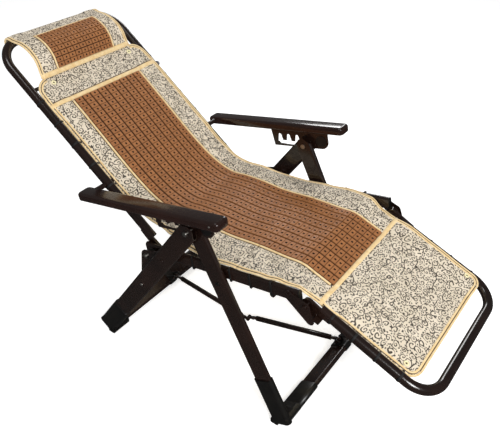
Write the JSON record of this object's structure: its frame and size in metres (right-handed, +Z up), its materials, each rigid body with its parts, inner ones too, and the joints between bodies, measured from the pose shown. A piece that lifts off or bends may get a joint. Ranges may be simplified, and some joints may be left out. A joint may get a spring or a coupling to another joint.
{
  "type": "folding recliner",
  "caption": "Folding reclining lounge chair with flat-tube legs, notched armrests, a lifting footrest and a padded bamboo mat.",
  "frame": {"origin": "on the floor, at the middle of the chair's length and width", "axes": "+X towards the footrest, +Y towards the sitter's left, +Z up"},
  "size_m": [1.5544, 0.67, 0.9399],
  "materials": {
    "frame": "gloss baked enamel, dark brown-black",
    "bright_steel": "zinc-plated rivets and bolts",
    "armrest": "glossy dark brown moulded plastic",
    "black_plastic": "satin black moulded plastic",
    "elastic": "black elastic cord",
    "mat": "cream print fabric with brown bamboo tiles"
  },
  "bodies": {
    "rear_legs": {"rear_leg_left": "frame", "rear_leg_right": "frame", "rear_shoe_left": "black_plastic", "rear_shoe_right": "black_plastic", "hip_plate_left": "frame", "hip_plate_right": "frame", "rear_floor_bar": "frame", "hip_rivets": "bright_steel", "hip_bolts": "bright_steel", "hip_spacers": "black_plastic", "leg_pins": "bright_steel", "leg_washers": "black_plastic", "rear_brace_clip": "black_plastic", "rear_brace_pin": "bright_steel"},
    "front_legs": {"front_leg_left": "frame", "front_leg_right": "frame", "front_shoe_left": "black_plastic", "front_shoe_right": "black_plastic", "front_floor_bar": "frame", "seat_pegs": "black_plastic", "front_brace_clip": "black_plastic", "front_brace_pin": "bright_steel"},
    "seat": {"seat_tube_left": "frame", "seat_tube_right": "frame", "knee_bracket_left": "frame", "knee_bracket_right": "frame", "seat_bar_rear": "frame", "seat_bar_front": "frame", "seat_tube_caps": "black_plastic", "knee_bolts": "bright_steel", "knee_rivets": "bright_steel", "seat_mat": "mat", "seat_loops": "elastic"},
    "back": {"back_tube": "frame", "back_tabs": "frame", "back_bar_low": "frame", "back_bar_high": "frame", "arm_studs": "bright_steel", "back_mat": "mat", "back_loops": "elastic", "head_roll": "mat"},
    "footrest": {"foot_tube": "frame", "foot_tabs": "frame", "foot_bar": "frame", "foot_mat": "mat", "foot_loops": "elastic"},
    "armrest_left": {"armrest_left": "armrest", "arm_bracket_left": "frame", "arm_lug_left": "black_plastic"},
    "armrest_right": {"armrest_right": "armrest", "arm_bracket_right": "frame", "arm_lug_right": "black_plastic"},
    "brace_rear": {"brace_rear_arm": "frame", "brace_rivet": "bright_steel"},
    "brace_front": {"brace_front_arm": "frame"}
  },
  "joints": [
    {"name": "leg_fold", "type": "hinge", "parent": "rear_legs", "child": "front_legs", "pos_m": [0.06324, 0, 0.612], "axis": [0, 1, 0], "range_deg": [0, 54]},
    {"name": "seat_fold", "type": "hinge", "parent": "rear_legs", "child": "seat", "pos_m": [-0.12176, 0, 0.436], "axis": [0, -1, 0], "range_deg": [0, 65]},
    {"name": "back_recline", "type": "hinge", "parent": "rear_legs", "child": "back", "pos_m": [-0.12176, 0, 0.436], "axis": [0, 1, 0], "range_deg": [0, 30.8]},
    {"name": "armrest_left_swing", "type": "hinge", "parent": "back", "child": "armrest_left", "pos_m": [-0.32166, 0, 0.58446], "axis": [0, -1, 0], "range_deg": [0, 18.7]},
    {"name": "armrest_right_swing", "type": "hinge", "parent": "back", "child": "armrest_right", "pos_m": [-0.32166, 0, 0.58446], "axis": [0, -1, 0], "range_deg": [0, 18.7]},
    {"name": "footrest_lift", "type": "hinge", "parent": "seat", "child": "footrest", "pos_m": [0.41039, 0, 0.50499], "axis": [0, -1, 0], "range_deg": [0, 80]},
    {"name": "brace_rear_swing", "type": "hinge", "parent": "rear_legs", "child": "brace_rear", "pos_m": [-0.30019, 0, 0.05461], "axis": [0, -1, 0], "range_deg": [0, 69.73]},
    {"name": "brace_front_swing", "type": "hinge", "parent": "front_legs", "child": "brace_front", "pos_m": [0.35488, 0, 0.04936], "axis": [0, 1, 0], "range_deg": [0, 52.08]}
  ],
  "couplings": [
    {"joint": "seat_fold", "follows": "leg_fold", "ratio": 1.2037},
    {"joint": "brace_rear_swing", "follows": "leg_fold", "ratio": 1.2913},
    {"joint": "brace_front_swing", "follows": "leg_fold", "ratio": 0.96445},
    {"joint": "armrest_left_swing", "follows": "back_recline", "ratio": 0.60714},
    {"joint": "armrest_right_swing", "follows": "back_recline", "ratio": 0.60714}
  ]
}
